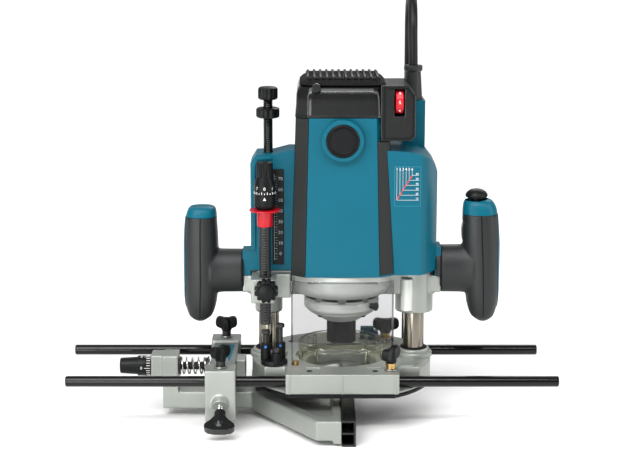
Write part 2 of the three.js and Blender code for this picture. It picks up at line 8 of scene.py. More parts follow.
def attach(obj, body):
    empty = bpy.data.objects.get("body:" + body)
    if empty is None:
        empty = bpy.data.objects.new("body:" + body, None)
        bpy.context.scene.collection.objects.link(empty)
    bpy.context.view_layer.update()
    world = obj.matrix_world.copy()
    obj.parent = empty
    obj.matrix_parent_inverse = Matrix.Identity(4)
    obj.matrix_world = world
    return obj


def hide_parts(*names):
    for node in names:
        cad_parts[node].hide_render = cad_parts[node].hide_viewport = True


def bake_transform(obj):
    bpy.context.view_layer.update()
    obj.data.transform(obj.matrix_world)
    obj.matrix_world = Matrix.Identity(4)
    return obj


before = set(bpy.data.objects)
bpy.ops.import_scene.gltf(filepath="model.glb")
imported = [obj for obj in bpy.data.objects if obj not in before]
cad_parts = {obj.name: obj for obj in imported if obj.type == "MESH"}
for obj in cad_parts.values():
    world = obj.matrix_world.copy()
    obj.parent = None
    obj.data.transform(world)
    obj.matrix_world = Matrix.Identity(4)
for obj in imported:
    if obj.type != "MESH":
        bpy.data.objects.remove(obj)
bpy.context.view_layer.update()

# Lengths are in millimetres from the spindle axis (X, Y) and the sole's underside (Z). The fence hangs lower
# than the sole, down to the floor.
FLOOR = -34.8
ORIGIN = Vector((-30.5, 0.0, FLOOR))
COLUMN_X = 68
ROD_Y, ROD_Z = 54, 11.5
POLE = (-70.4, -32)
TURRET = (-62.5, -34)
BRUSH_Z = 232.4
ADJUSTER_Z = 11
GUIDE_X = -111
HOUSING_FOOT = 107
HOUSING = [(-34, -48), (34, -48), (47, -38), (47, 38), (34, 48), (-34, 48), (-47, 38), (-47, -38)]


# ---- materials ----

def material(name, color, rough, metal=0.0, grain=(900, 0.02), blotch=0.06, coat=0.0, clear=0.0,
             stretch=(1, 1, 1), shine=0.5, ior=1.46):
    made = bpy.data.materials.new(name)
    made.use_nodes = True
    nodes, links = made.node_tree.nodes, made.node_tree.links
    shader = nodes["Principled BSDF"]
    for socket, value in (("Metallic", metal), ("Coat Weight", coat), ("Coat Roughness", 0.12),
                          ("Transmission Weight", clear), ("IOR", ior), ("Specular IOR Level", shine)):
        shader.inputs[socket].default_value = value
    coords = nodes.new("ShaderNodeTexCoord")
    mapping = nodes.new("ShaderNodeMapping")
    mapping.inputs["Scale"].default_value = stretch
    links.new(coords.outputs["Object"], mapping.inputs["Vector"])

    def noise(scale, detail):
        node = nodes.new("ShaderNodeTexNoise")
        node.inputs["Scale"].default_value = scale
        node.inputs["Detail"].default_value = detail
        links.new(mapping.outputs["Vector"], node.inputs["Vector"])
        return node.outputs["Fac"]

    broad = noise(24, 5)
    fine = noise(grain[0], 3)
    bump = nodes.new("ShaderNodeBump")
    bump.inputs["Strength"].default_value = grain[1]
    bump.inputs["Distance"].default_value = 0.0004
    links.new(fine, bump.inputs["Height"])
    links.new(bump.outputs["Normal"], shader.inputs["Normal"])
    spread = nodes.new("ShaderNodeMapRange")
    spread.inputs["To Min"].default_value = rough * 0.8
    spread.inputs["To Max"].default_value = rough * 1.25
    links.new(broad, spread.inputs["Value"])
    links.new(spread.outputs["Result"], shader.inputs["Roughness"])
    mix = nodes.new("ShaderNodeMix")
    mix.data_type = "RGBA"
    mix.inputs["A"].default_value = [c * (1 - blotch) for c in color] + [1]
    mix.inputs["B"].default_value = [min(1, c * (1 + blotch)) for c in color] + [1]
    links.new(broad, mix.inputs["Factor"])
    links.new(mix.outputs["Result"], shader.inputs["Base Color"])
    return made


MATERIALS = {
    "teal": material("teal paint", (0.0004, 0.085, 0.128), 0.42, coat=0.07, grain=(1500, 0.1), blotch=0.12,
                     shine=0.16),
    "casting": material("grey casting", (0.28, 0.297, 0.274), 0.36, 0.6, grain=(1300, 0.3), blotch=0.14),
    # A lighter copy of the grey casting: painted light for the cup and bearing cover, which sit in the
    # housing's shade.
    "casting with painted light": material("casting with painted light", (0.55, 0.57, 0.535), 0.38, 0.35, grain=(1300, 0.3), blotch=0.12),
    "dark casting": material("dark casting", (0.13, 0.145, 0.14), 0.45, 0.3, grain=(1300, 0.3)),
    "black": material("black plastic", (0.0052, 0.0056, 0.006), 0.34, grain=(1700, 0.12), shine=0.16),
    "gloss": material("gloss black plastic", (0.0035, 0.0038, 0.004), 0.26, coat=0.32, shine=0.3),
    "rubber": material("grip rubber", (0.0105, 0.012, 0.0125), 0.42, grain=(1400, 0.35), shine=0.4),
    "strip": material("grey rubber", (0.011, 0.0125, 0.0125), 0.42, grain=(1400, 0.2), shine=0.24),
    "chrome": material("ground steel", (0.2, 0.182, 0.15), 0.14, 1.0, grain=(60, 0.03), stretch=(1, 1, 30)),
    "steel": material("steel", (0.42, 0.42, 0.4), 0.26, 1.0, grain=(700, 0.06)),
    "black steel": material("black oxide steel", (0.0022, 0.0021, 0.002), 0.1, coat=0.22, grain=(800, 0.002),
                            shine=0.22),
    "matt steel": material("matt oxide steel", (0.0035, 0.004, 0.0037), 0.45, grain=(1000, 0.06), shine=0.12),
    "dark steel": material("dark steel", (0.03, 0.03, 0.031), 0.32, 0.6, grain=(800, 0.08)),
    "brass": material("brass", (0.5, 0.33, 0.12), 0.25, 1.0, grain=(700, 0.04)),
    "copper": material("copper windings", (0.42, 0.16, 0.07), 0.35, 0.9, grain=(600, 0.3)),
    "red": material("red plastic", (0.43, 0.003, 0.011), 0.28, coat=0.2, grain=(1000, 0.03), shine=0.35),
    "amber": material("clear amber plastic", (0.97, 0.955, 0.84), 0.03, clear=1.0, grain=(200, 0.02), ior=1.3),
    "smoke": material("clear smoke plastic", (0.54, 0.54, 0.55), 0.025, clear=1.0, grain=(200, 0.01), ior=1.22),
    "cord": material("cord rubber", (0.006, 0.006, 0.0066), 0.36, grain=(1500, 0.1), shine=0.25),
    "blue": material("blue mark", (0.01, 0.16, 0.6), 0.4),
    # The shadow look is painted shade: a near-black laid in slots, vents, sockets, seams, gaps and the grille's
    # tray, where shade falls.
    "shadow": material("painted recess shade", (0.004, 0.004, 0.004), 0.8, grain=(900, 0.1), shine=0.2),
}
for look, ink in (("white", (0.75, 0.76, 0.74)), ("grey", (0.3, 0.34, 0.34)), ("pale teal", (0.03, 0.24, 0.31)),
                  ("red", (0.7, 0.02, 0.02))):
    MATERIALS[look + " print"] = material(look + " print", ink, 0.5)
# The record's slot for the look of a piece that stands for CAD nodes, unless its call names another; add works
# it out but sets it on nothing.
SLOTS = {
    "black": "black_plastic", "casting": "casting", "casting with painted light": "casting", "teal": "teal_plastic",
    "steel": "steel", "chrome": "bright_steel", "black steel": "dark_steel", "dark steel": "dark_steel",
    "matt steel": "dark_steel", "amber": "clear_amber", "smoke": "clear_smoke", "red": "red_plastic",
    "gloss": "gloss_black", "rubber": "soft_rubber", "strip": "soft_rubber", "cord": "cord_rubber",
    "shadow": "black_plastic",
}


# ---- shapes: vertices in millimetres and faces ----

class Shape:
    def __init__(self, verts=(), faces=()):
        self.verts = [Vector(v) for v in verts]
        self.faces = [tuple(f) for f in faces]

    def __add__(self, other):
        first = len(self.verts)
        return Shape(self.verts + other.verts, self.faces + [tuple(first + i for i in f) for f in other.faces])

    def placed(self, matrix):
        return Shape([matrix @ v for v in self.verts], self.faces)

    def moved(self, x=0.0, y=0.0, z=0.0):
        return self.placed(Matrix.Translation((x, y, z)))

    def turned(self, degrees, axis="Z", about=(0, 0, 0)):
        there = Matrix.Translation(about)
        return self.placed(there @ Matrix.Rotation(radians(degrees), 4, axis) @ there.inverted())

    def scaled(self, x=1.0, y=1.0, z=1.0):
        return self.placed(Matrix.Diagonal((x, y, z, 1)))


def total(shapes):
    whole = Shape()
    for shape in shapes:
        whole = whole + shape
    return whole


def on_axis(axis, r, angle, h, at):
    c, s = r * cos(angle), r * sin(angle)
    x, y, z = {"Z": (c, s, h), "X": (h, c, s), "Y": (s, h, c)}[axis]
    return Vector((x + at[0], y + at[1], z + at[2]))


def lathe(profile, at=(0, 0, 0), axis="Z", sides=56, wave=None):
    """A profile of (radius, height) turned about an axis. wave(angle, r, h) changes the radius."""
    verts, rings = [], []
    for r, h in profile:
        if r < 1e-6:
            rings.append([len(verts)])
            verts.append(on_axis(axis, 0, 0, h, at))
            continue
        rings.append(list(range(len(verts), len(verts) + sides)))
        for k in range(sides):
            angle = 2 * pi * k / sides
            verts.append(on_axis(axis, wave(angle, r, h) if wave else r, angle, h, at))
    pairs = list(zip(rings, rings[1:]))
    if len(rings[0]) > 1 and len(rings[-1]) > 1:
        pairs.append((rings[-1], rings[0]))
    faces = []
    for a, b in pairs:
        if len(a) == len(b) == 1:
            continue
        for k in range(sides):
            n = (k + 1) % sides
            if len(a) == 1:
                faces.append((a[0], b[n], b[k]))
            elif len(b) == 1:
                faces.append((a[k], a[n], b[0]))
            else:
                faces.append((a[k], a[n], b[n], b[k]))
    return Shape(verts, faces)


def spun(profile, *rest, **options):
    """A lathe whose profile is closed to the axis at both ends."""
    return lathe([(0, profile[0][1]), *profile, (0, profile[-1][1])], *rest, **options)


def disc(r, h0, h1, at=(0, 0, 0), axis="Z", sides=40, edge=0.0):
    if edge:
        profile = [(0, h0), (r - edge, h0), (r, h0 + edge), (r, h1 - edge), (r - edge, h1), (0, h1)]
    else:
        profile = [(0, h0), (r, h0), (r, h1), (0, h1)]
    return lathe(profile, at, axis, sides)


def ring(inner, outer, h0, h1, at=(0, 0, 0), axis="Z", sides=56, edge=0.3):
    return lathe([(inner + edge, h0), (outer - edge, h0), (outer, h0 + edge), (outer, h1 - edge),
        (outer - edge, h1), (inner + edge, h1), (inner, h1 - edge), (inner, h0 + edge)], at, axis, sides)


def prism(outline, low, high, axis="Z"):
    """An outline drawn out along an axis: XY along Z, XZ along Y, YZ along X."""
    place = {"Z": lambda a, b, h: (a, b, h), "Y": lambda a, b, h: (a, h, b),
        "X": lambda a, b, h: (h, a, b)}[axis]
    count = len(outline)
    verts = [place(a, b, h) for h in (low, high) for a, b in outline]
    faces = [tuple(range(count)), tuple(range(2 * count - 1, count - 1, -1))]
    faces += [(k, (k + 1) % count, count + (k + 1) % count, count + k) for k in range(count)]
    return Shape(verts, faces)


def block(x0, x1, y0, y1, z0, z1):
    return prism([(x0, y0), (x1, y0), (x1, y1), (x0, y1)], z0, z1)


def sweep(points, radius, sides):
    """A round tube along a line of points."""
    points = [Vector(p) for p in points]
    verts, faces = [], []
    side = None
    for i, p in enumerate(points):
        ahead = (points[min(i + 1, len(points) - 1)] - points[max(i - 1, 0)]).normalized()
        if side is None:
            side = ahead.orthogonal().normalized()
        side = (side - ahead * side.dot(ahead)).normalized()
        up = ahead.cross(side)
        for k in range(sides):
            a = 2 * pi * k / sides
            verts.append(p + side * (radius * cos(a)) + up * (radius * sin(a)))
    for i in range(len(points) - 1):
        for k in range(sides):
            a, b = i * sides + k, i * sides + (k + 1) % sides
            faces.append((a, b, b + sides, a + sides))
    faces += [tuple(range(sides))[::-1], tuple(range((len(points) - 1) * sides, len(points) * sides))]
    return Shape(verts, faces)


def arc_wall(inner, outer, a0, a1, z0, z1, steps=24):
    """A standing wall along an arc. Angles are from the front, anticlockwise seen from above."""
    def arc(r, a, b):
        angles = [radians(a + (b - a) * k / steps) for k in range(steps + 1)]
        return [(r * sin(t), -r * cos(t)) for t in angles]
    return prism(arc(outer, a0, a1) + arc(inner, a1, a0), z0, z1)


def loft(rings):
    count = len(rings[0])
    verts = [v for r in rings for v in r]
    faces = [tuple(range(count))[::-1], tuple(range((len(rings) - 1) * count, len(rings) * count))]
    for i in range(len(rings) - 1):
        for k in range(count):
            a, b = i * count + k, i * count + (k + 1) % count
            faces.append((a, b, b + count, a + count))
    return Shape(verts, faces)


def thread(r, depth, pitch, h0, h1, at, axis="Z", sides=20):
    """A screw thread as a turned surface whose radius follows the helix."""
    steps = int((h1 - h0) / pitch * 5)
    profile = [(0, h0)] + [(r, h0 + (h1 - h0) * k / steps) for k in range(steps + 1)] + [(0, h1)]

    def helix(angle, radius, h):
        return radius - depth * abs(2 * ((h / pitch - angle / (2 * pi)) % 1) - 1)

    return lathe(profile, at, axis, sides, helix)


def fluted(count, depth, low, high):
    """A wave of round flutes between two heights, for a knob's grip."""
    def wave(angle, r, h):
        return r - (depth * (0.5 + 0.5 * cos(count * angle)) ** 2 if low <= h <= high else 0)
    return wave


def cad(node):
    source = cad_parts[node]
    return Shape([source.matrix_world @ v.co * 1000 + ORIGIN for v in source.data.vertices],
        [tuple(p.vertices) for p in source.data.polygons])


def carved(shape, *cutters):
    """shape with the cutters taken away."""
    target = bare("carved", shape)
    tools = [bare("cutter", c) for c in cutters]
    for tool in tools:
        cut = target.modifiers.new("cut", "BOOLEAN")
        cut.object = tool
        cut.solver = "EXACT"
    bpy.context.view_layer.update()
    mesh = target.evaluated_get(bpy.context.evaluated_depsgraph_get()).data
    made = Shape([v.co * 1000 + ORIGIN for v in mesh.vertices], [tuple(p.vertices) for p in mesh.polygons])
    for o in [target] + tools:
        data = o.data
        bpy.data.objects.remove(o)
        bpy.data.meshes.remove(data)
    return made


def linked(name, data):
    obj = bpy.data.objects.new(name, data)
    bpy.context.scene.collection.objects.link(obj)
    return obj


def bare(name, shape, tidy=0.0):
    """An object of the shape, with no material or body. tidy dissolves edges flatter than its degrees."""
    mesh = bpy.data.meshes.new(name)
    mesh.from_pydata([(v - ORIGIN) / 1000 for v in shape.verts], [], shape.faces)
    work = bmesh.new()
    work.from_mesh(mesh)
    bmesh.ops.remove_doubles(work, verts=work.verts, dist=2e-6)
    if tidy:
        bmesh.ops.dissolve_limit(work, angle_limit=radians(tidy), verts=work.verts, edges=work.edges)
    bmesh.ops.recalc_face_normals(work, faces=work.faces)
    work.to_mesh(mesh)
    work.free()
    return linked(name, mesh)


def add(name, shape, look, body, *nodes, bevel=0.0, segments=2, sharp=32, voxel=0.0, relax=0, slot=None,
        tidy=0.0):
    """One visible piece of a shape or a list of them: it rides a body, and stands for the CAD nodes given.

    bevel and voxel are in millimetres, sharp and tidy in degrees.
    """
    obj = bare(name.replace(" ", "_"), total(shape) if isinstance(shape, list) else shape, tidy)
    mesh = obj.data
    mesh.materials.append(MATERIALS[look])
    obj.visible_shadow = look not in ("smoke", "amber")
    mesh.polygons.foreach_set("use_smooth", [True] * len(mesh.polygons))
    if voxel:
        remesh = obj.modifiers.new("remesh", "REMESH")
        remesh.mode = "VOXEL"
        remesh.voxel_size = voxel / 1000
        remesh.use_smooth_shade = True
        soften = obj.modifiers.new("soften", "SMOOTH")
        soften.factor = 0.5
        soften.iterations = relax
    else:
        mesh.set_sharp_from_angle(angle=radians(sharp))
    if bevel:
        edge = obj.modifiers.new("edge", "BEVEL")
        edge.width = bevel / 1000
        edge.segments = segments
        edge.limit_method = "ANGLE"
        edge.angle_limit = radians(sharp)
        edge.harden_normals = True
    if body:
        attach(obj, body)
    if nodes:
        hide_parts(*nodes)
        slot = slot or SLOTS[look]
    return obj


def words(string, size, at, raised=0.12):
    """Thin raised lettering that faces the front, as a shape."""
    curve = bpy.data.curves.new("words", "FONT")
    curve.body = string
    curve.size = size
    curve.align_x = curve.align_y = "CENTER"
    curve.extrude = raised / 2
    curve.resolution_u = 2
    obj = linked("words", curve)
    bpy.context.view_layer.update()
    mesh = bpy.data.meshes.new_from_object(obj.evaluated_get(bpy.context.evaluated_depsgraph_get()))
    made = Shape([v.co for v in mesh.vertices], [tuple(p.vertices) for p in mesh.polygons])
    bpy.data.objects.remove(obj)
    bpy.data.curves.remove(curve)
    bpy.data.meshes.remove(mesh)
    return made.turned(90, "X").moved(*at)


def housing_at(z, grow=0.0):
    """The housing's outline at a height: it narrows by a tenth over 145 mm."""
    k = 1 - 0.1 * (z - HOUSING_FOOT) / 145
    return [((x * k) * (1 + grow), (y * k) * (1 + grow), z) for x, y in HOUSING]


def rear_y(z, proud):
    """Where the housing's sloping rear face stands at a height, plus what lies proud of it."""
    return proud - (z - HOUSING_FOOT) * 0.033


# ---- pieces ----

def screw_head(r, at, axis, way):
    """A domed cross-slot screw head that faces the way given along its axis."""
    x, y, z = at
    i = "XYZ".index(axis)
    head = lathe([(0, 0), (r, 0), (r, way * 0.7), (r * 0.7, way * 1.5), (0, way * 1.8)], at, axis, 24)
    low, high = sorted((way * 0.9, way * 2.4))

    def bar(long, wide):
        half = [[-long, long], [-wide, wide]]
        half.insert(i, [low, high])
        return block(x + half[0][0], x + half[0][1], y + half[1][0], y + half[1][1], z + half[2][0],
            z + half[2][1])
    return carved(head, bar(r * 0.55, r * 0.13), bar(r * 0.13, r * 0.55))


def make_base():
    add("base body", cad("base_casting"), "casting", "base", "base_casting", voxel=1.0, relax=3)
    tabs = [block(x - 7, x + 7, -50, -42.5, 21.5, 23.6) for x in (-26.4, 29.7)]
    ridges = [block(-0.7, 0.7, -70.9, -69.5, 3.6, 22)]
    ridges += [block(x - 0.6, x + 0.6, -70.7, -69.5, 3.6, 22) for x in (-48, 48)]
    pads = [prism([(s * 53, -42.5), (s * 66, -42.5), (s * 70, -30), (s * 60, -30)], 22, 23.4) for s in (-1, 1)]
    add("base ribs", tabs + ridges + pads, "casting", "base", bevel=0.4)
    steps = [lathe([(15.2, 22), (17.5, 22), (17.5, 25.4), (16.6, 26.4), (15.2, 26.6)], (s * COLUMN_X, 0, 0))
        for s in (-1, 1)]
    add("column boss steps", steps, "casting", "base")
    add("aperture seat", ring(33.2, 42.8, 15.6, 16.6), "casting", "base")
    sockets = ((-33, 62), (33, 72), (-48, 45), (52, 30), (-30, -58), (30, -58))
    add("base screw sockets", [disc(2.6, 22.15, 22.5, (x, y, 0)) for x, y in sockets], "shadow", "base")
    sole_screws = [screw_head(3.2, (68 * cos(a), 62 * sin(a), 0.6), "Z", -1) for a in (0.6, 1.6, 2.6, 3.7, 5.7)]
    add("sole", cad("sole_plate"), "black", "base", "sole_plate", bevel=0.7, tidy=0.5)
    add("sole screws", sole_screws, "dark steel", "base")
    add("sole rings", [ring(r, r + 0.8, -0.15, 0.4, sides=72, edge=0.1) for r in (40, 50, 59)], "black", "base")
    plate = [cad("guide_bush_plate")] + [screw_head(2.2, (26.5 * s, 0, 6.8), "Z", 1) for s in (-1, 1)]
    add("bush plate", plate, "steel", "base", "guide_bush_plate", bevel=0.3)


def make_columns():
    for side, x in (("left", -COLUMN_X), ("right", COLUMN_X)):
        add(side + " column tube", lathe([(8, 6.6), (9.5, 6.6), (9.8, 7), (9.8, 167), (9.2, 168), (8, 168)],
            (x, 0, 0), sides=72), "chrome", "base", side + "_column")
        add(side + " column wiper", ring(9.9, 12.6, 29.5, 30.6, (x, 0, 0)), "shadow", "base")
        turns = [2 * pi * k / 18 for k in range(11 * 18 + 1)]
        wire = [(x + 6.1 * cos(a), 6.1 * sin(a), 12.4 + 194.4 * a / turns[-1]) for a in turns]
        spring = add(side + " plunge spring wire", sweep(wire, 0.65, 8), "steel", None, side + "_plunge_spring",
            slot="dark_steel")
        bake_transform(spring)
    at = (-COLUMN_X, 0, 0)
    rod = disc(4.3, 8, 202, at, sides=24)
    add("limit rod screw", rod + thread(4.5, 0.55, 1.75, 202, 264.5, at), "black steel", "base", "limit_rod")
    cap = spun([(7.4, 264), (8.6, 264.8), (9.2, 266), (9.2, 273.2), (8.4, 274.8), (6.8, 275.6)], at, sides=96,
        wave=fluted(12, 0.9, 265.5, 274))
    add("limit rod cap", cap, "black", "base")
    nut = lathe([(4.8, 247.2), (9, 247.2), (10.4, 248), (10.9, 249.2), (10.9, 254.6), (10.4, 255.8), (9, 256.6),
        (4.8, 256.6)], at, sides=96, wave=fluted(9, 1.4, 248.5, 255.5))
    add("limit nut body", nut, "black", "limit_nut", "limit_nut")


def make_guards():
    wall = [arc_wall(37.6, 40.2, 40, 320, 16.8, 33), arc_wall(37.2, 40.5, 0, 359.9, 32.6, 35.8, steps=72)]
    wall += [arc_wall(36.9, 40.5, a - 1.8, a + 1.8, 16.6, 34) for a in (-38, 38, 90, 140, 180, 220, 270)]
    add("chip ring wall", wall, "amber", "base", "chip_ring", bevel=0.3)
    add("chip ring sill", arc_wall(37.4, 40.3, -38, 38, 16.8, 19.4), "amber", "base", bevel=0.3)
    add("chip ring catches", [arc_wall(39.9, 40.9, a - 6, a + 6, 24, 29) for a in (70, 110, 250, 290)], "amber",
        "base", bevel=0.2)
    outer = [(-46.6, -43.8), (-37, -51.6), (-32, -54), (32, -54), (37, -51.6), (46.9, -43.6)]
    inner = [(45.9, -42.3), (36.2, -50.2), (31.6, -52.4), (-31.6, -52.4), (-36.2, -50.2), (-45.6, -42.5)]
    pane = prism(outer + inner, 46, 104)
    rims = [block(x, x + 2, -44.4, -42.2, 46, 104) for x in (-47, 45.2)]
    rims += [block(-32, 32, -54.3, -52.2, z, z + 1.5) for z in (46, 102.7)]
    legs = [block(x, x + 1.6, y, -33, z, 50) for y, z in ((-40.5, 22.6), (-44, 46)) for x in (-46.6, 45.3)]
    add("chip screen", pane, "smoke", "base", "chip_deflector", bevel=0.4)
    add("chip screen rims", rims + legs, "smoke", "base", bevel=0.3)
    feet = [disc(2.8, 22.5, 26.2, (x, -36.5, 0), sides=20) for x in (-42.5, 42.8)]
    tabs = [block(x - 3.4, x + 3.4, -40, -33, 22.5, 23.6) for x in (-43.4, 43.7)]
    add("chip screen screws", feet, "brass", "base")
    add("chip screen tabs", tabs, "smoke", "base", bevel=0.3)


def paddle(at, z0, z1, half, thick, degrees):
    """The plastic wing of a thumb screw: two round ears on a ribbed stem."""
    x, y = at
    rise = z1 - z0
    ear = [(0.18, 0), (0.34, 0.16), (0.66, 0.22), (0.9, 0.32), (1, 0.48), (1, 0.74), (0.92, 0.9), (0.74, 1),
        (0.5, 1), (0.26, 0.94)]
    outline = [(half * a, z0 + rise * b) for a, b in ear]
    outline += [(-half * a, z0 + rise * b) for a, b in reversed(ear)]
    wing = prism(outline, -thick / 2, thick / 2, "Y")
    stem = lathe([(0, z0), (4.6, z0), (5.2, z0 + 1), (5, z0 + rise * 0.6), (4.2, z0 + rise * 0.85),
        (0, z0 + rise * 0.9)], sides=48, wave=fluted(8, 0.7, z0 + 0.5, z0 + rise * 0.8))
    return (wing + stem).turned(degrees).moved(x, y)


def make_thumb_screws():
    kinds = (("rod clamp", "rod_clamp", "brass", 44.5, 22.6, 29, 43.7, 12.8, 60),
        ("wing", "wing_bolt", "dark steel", GUIDE_X, 24.8, 31, 45, 10.5, 50))
    for kind, node, look, x, face, low, high, half, turn in kinds:
        for side, y, degrees in (("front", -ROD_Y, turn), ("rear", ROD_Y, 0)):
            name, body, at = side + " " + kind, side + "_" + node, (x, y, 0)
            add(name, paddle((x, y), low, high, half, 6.4, degrees), "black", body, node + "_" + side,
                voxel=0.55, relax=5)
            add(name + " washer", ring(3.1, 6, face, face + 1.5, at, sides=32), "steel", body)
            add(name + " screw", spun([(2.9, face - 5), (2.9, face + 1.6), (4.3, face + 1.6),
                (4.3, low + 0.4)], at, sides=24), look, body)


def make_turret():
    plate = spun([(11.4, 22.6), (12.4, 23.4), (12.4, 26), (11.6, 27)], (*TURRET, 0), sides=72,
        wave=fluted(18, 0.5, 23, 26.5))
    hub = disc(3.4, 26, 31, (*TURRET, 0), sides=24, edge=0.6)
    posts, bolts, marks = [plate, hub], [], []
    for degrees, top in ((166, 54.7), (46, 59.6), (-74, 40)):
        a = radians(degrees)
        at = (TURRET[0] + 8.1 * cos(a), TURRET[1] + 8.1 * sin(a), 0)
        block_top = min(42, top - 5)
        posts.append(spun([(4.8, 26), (4.8, block_top - 0.8), (4.1, block_top)], at, sides=28))
        bolts.append(thread(2.5, 0.3, 1.0, block_top - 1, top - 3.6, at, sides=16))
        bolts.append(spun([(3.4, top - 4), (3.9, top - 3.5), (3.9, top - 0.6), (3.2, top)], at, sides=6))
        if top > 45:
            marks.append(disc(1.1, -5.1, -4.6, (at[0], at[1], block_top - 2.6), "Y", 20))
    add("turret body", posts, "black", "turret", "stop_turret")
    add("turret bolts", bolts, "dark steel", "turret")
    add("turret marks", marks, "blue", "turret")
    add("bush latch lever", cad("bush_latch"), "teal", "latch", "bush_latch", voxel=0.6, relax=4)


def make_depth_stop():
    at = (*POLE, 0)
    pole = disc(5.3, 60.2, 167, at, sides=28, edge=0.5)
    rack = [block(at[0] - 1.9, at[0] + 1.9, at[1] - 5.34, at[1] - 4.6, 64 + 2.4 * k, 65.3 + 2.4 * k)
        for k in range(36)]
    add("stop pole bar", pole, "dark steel", "stop_pole", "stop_pole")
    add("stop pole rack", rack, "black steel", "stop_pole")
    pointer = lathe([(5.7, 152), (6.9, 152), (7.2, 152.5), (7.2, 165), (8.2, 166), (13.8, 166.1), (14.3, 166.6),
        (14.3, 167.1), (13.9, 167.5), (5.7, 167.5)], at, sides=64)
    add("depth pointer ring", pointer, "red", "depth_pointer", "depth_pointer")
    collar = spun([(7.8, 168.1), (9.3, 170), (9.8, 172.5), (9.8, 180.8), (9.5, 181.1), (9.5, 181.5)], at,
        sides=64)
    drum = spun([(9.5, 181.4), (9.8, 181.8), (9.8, 189), (9.3, 191.5), (8.3, 195), (7.6, 197.4)], at, sides=64)
    grip = spun([(7.5, 197), (7.5, 209.4), (6.9, 210.8), (5.8, 211.2)], at, sides=96,
        wave=fluted(16, 0.7, 196.5, 210))
    add("fine depth knob body", collar + drum + grip, "black", "fine_depth_knob", "fine_depth_knob")
    ticks = [block(-0.25, 0.25, -10.0, -9.6, 182.4, 184.6 if k % 2 else 183.8).turned(360 / 24 * k)
        for k in range(24)]
    digits = [words(str(k % 10), 4.2, (0, -9.75, 187.6)).turned(45 * k) for k in range(8)]
    arrow = prism([(-1.3, 177.2), (1.3, 177.2), (0, 180)], -10.05, -9.6, "Y")
    add("fine depth marks", total(ticks + digits + [arrow]).moved(at[0], at[1]), "white print",
        "fine_depth_knob")
    add("depth scale plate", block(-64, -53.6, -17.5, -16.3, 113, 202), "black", "head", "depth_scale",
        bevel=0.4)
    marks = [block(-60.6 if k % 2 else -62.2, -59.4, -17.68, -17.4, 118 + 2.5 * k, 118.25 + 2.5 * k)
        for k in range(32)]
    marks += [words(str(10 * k), 4.4, (-56.6, -17.56, 123 + 10 * k)) for k in range(8)]
    marks.append(block(-62.4, -62.1, -17.68, -17.4, 117, 198))
    add("depth scale marks", marks, "grey print", "head")
    clamp = (POLE[0] + 1.4, 0, 96.7)
    knob = spun([(4, -63), (6.6, -62.3), (7.4, -60.4), (7.8, -59), (10.2, -58.6), (11, -57.6), (11, -50),
        (10, -48.6), (6, -47.4)], clamp, "Y", 108, fluted(12, 1.7, -58.7, -48))
    add("pole clamp knob body", knob, "black", "pole_clamp", "pole_clamp_knob")
    add("pole clamp screw", disc(3, -48, -39.6, clamp, "Y", 20), "steel", "pole_clamp")


def make_bracket():
    add("bracket casting", cad("motor_bracket"), "casting", "head", "motor_bracket", voxel=0.9, relax=3)
    add("bracket webs", [prism([(s * 84, 98), (s * 92, 98), (s * 92, 85), (s * 84, 80)], -2.5, 2.5, "Y")
        for s in (-1, 1)], "casting", "head", bevel=0.8)
    # The rib, the bowl and the exhaust ribs below take the lighter casting copy: painted light for the cup in
    # the housing's shade.
    rib = spun([(5.2, 69), (5.6, 69.6), (5.6, 98.6), (5, 99.4)], (60.8, -15.6, 0), sides=32)
    bowl = lathe([(33.2, 84.2), (38.4, 84.2), (41.2, 84.9), (43.6, 86.4), (45.5, 88.6), (46.7, 91.4),
        (47.2, 94.6), (47.2, 106.4), (46.8, 106.9), (45.4, 106.9), (45, 98), (43.4, 91.5), (40, 87),
        (33.2, 86)], sides=96)
    add("bracket ribs", rib + bowl, "casting with painted light", "head", bevel=0.2)
    add("exhaust slots", [arc_wall(31.5, 34.2, a - 13, a + 13, 80.8, 83) for a in range(20, 361, 40)], "shadow",
        "head")
    add("exhaust ribs", [arc_wall(32.5, 35, a - 15, a + 15, 78.9, 80.6) for a in range(20, 361, 40)],
        "casting with painted light", "head", bevel=0.4)
    # The bearing cover takes the lighter casting copy too: painted light.
    cover = lathe([(14.4, 57.5), (15.4, 57.4), (17.5, 58.2), (30.6, 66.2), (31.4, 68), (33.6, 69), (34.9, 70.3),
        (35.3, 71.6), (35.3, 77.4), (34.4, 78.7), (14.4, 78.7)], sides=96)
    groove = ring(34.9, 36.2, 73.6, 74.3, sides=96, edge=0.1)
    add("bearing cover body", carved(cover, groove), "casting with painted light", "head", "bearing_cover")
    screws = [screw_head(2.4, (28 * cos(a), 28 * sin(a), 65.2), "Z", -1)
        for a in (radians(d) for d in (45, 135, 225, 315))]
    add("bearing cover screws", screws, "dark steel", "head")
    tip = spun([(3.6, 39.9), (3.9, 40.3), (3.9, 41.4), (3.3, 42)], (0, 0, 75), "X", 28)
    pin = disc(2.7, 24, 41.6, (0, 0, 75), "X", 28, 0.4) + tip
    add("shaft lock button", pin.turned(-40), "black", "shaft_lock", "shaft_lock_pin")
    add("plunge lock handle", cad("plunge_lock_lever"), "black", "plunge_lock", "plunge_lock_lever", voxel=0.8,
        relax=5)
    add("boss wipers", [ring(9.9, 12.4, 65.4, 66.6, (s * COLUMN_X, 0, 0)) for s in (-1, 1)], "shadow", "head")


